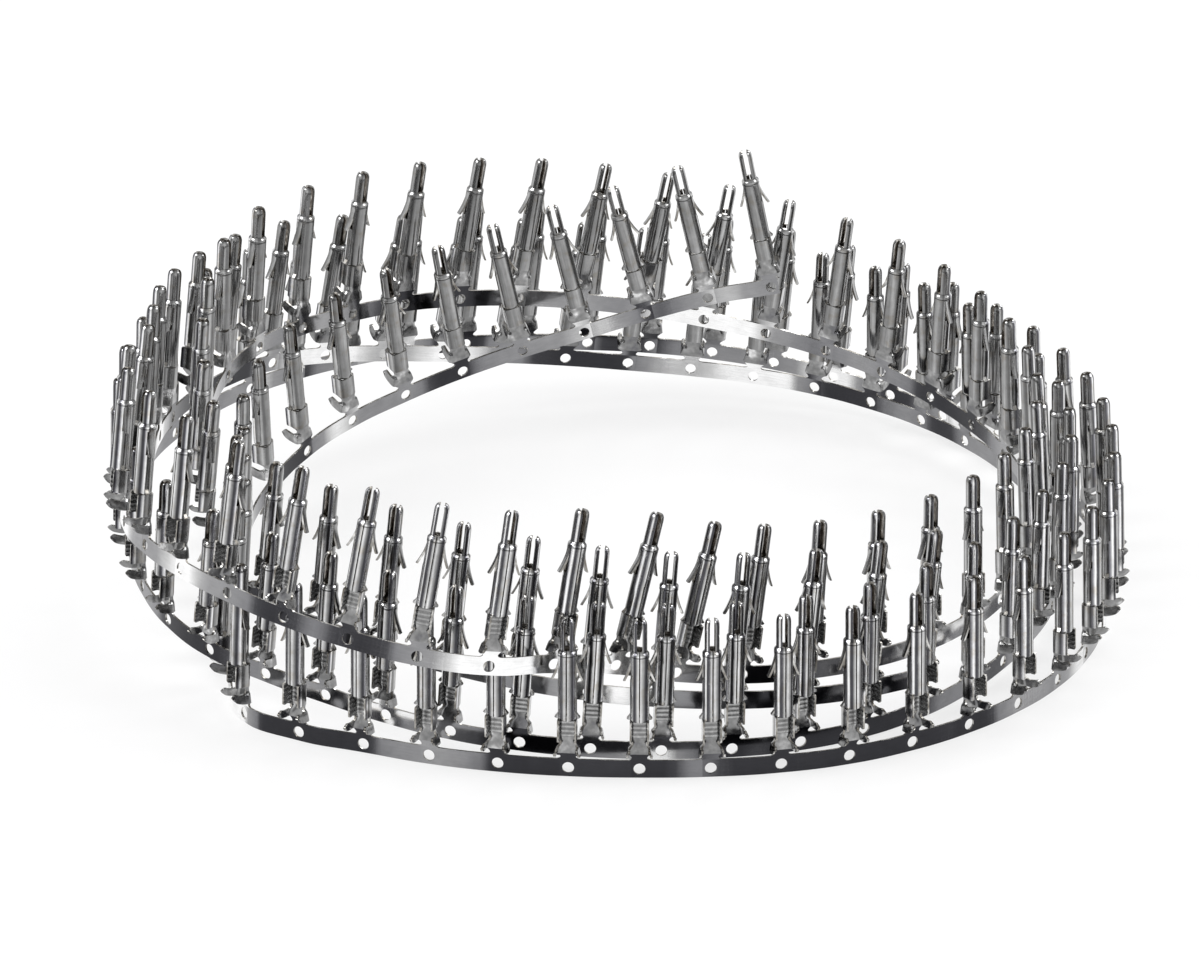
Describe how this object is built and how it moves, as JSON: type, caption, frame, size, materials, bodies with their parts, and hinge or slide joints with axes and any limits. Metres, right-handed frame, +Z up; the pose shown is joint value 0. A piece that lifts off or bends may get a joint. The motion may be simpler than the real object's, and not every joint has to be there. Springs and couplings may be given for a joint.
{
  "type": "coiled strip of split-pin crimp contacts",
  "caption": "Loose coil of split-pin crimp contacts, stamped from bright tin-plated sheet and still joined to the pierced carrier strip that feeds them.",
  "frame": {"origin": "on the floor, in the middle of the coil's outline seen from above", "axes": "+Z up the pins, along the coil's axis; X across the widest; the picture looks along +Y and down"},
  "size_m": [0.1547, 0.1465, 0.051],
  "materials": {
    "tin_plate": "bright tin plate over brass sheet, mirror-like with rolling streaks"
  },
  "bodies": {
    "root": {"terminal_strip": "tin_plate"}
  },
  "joints": []
}
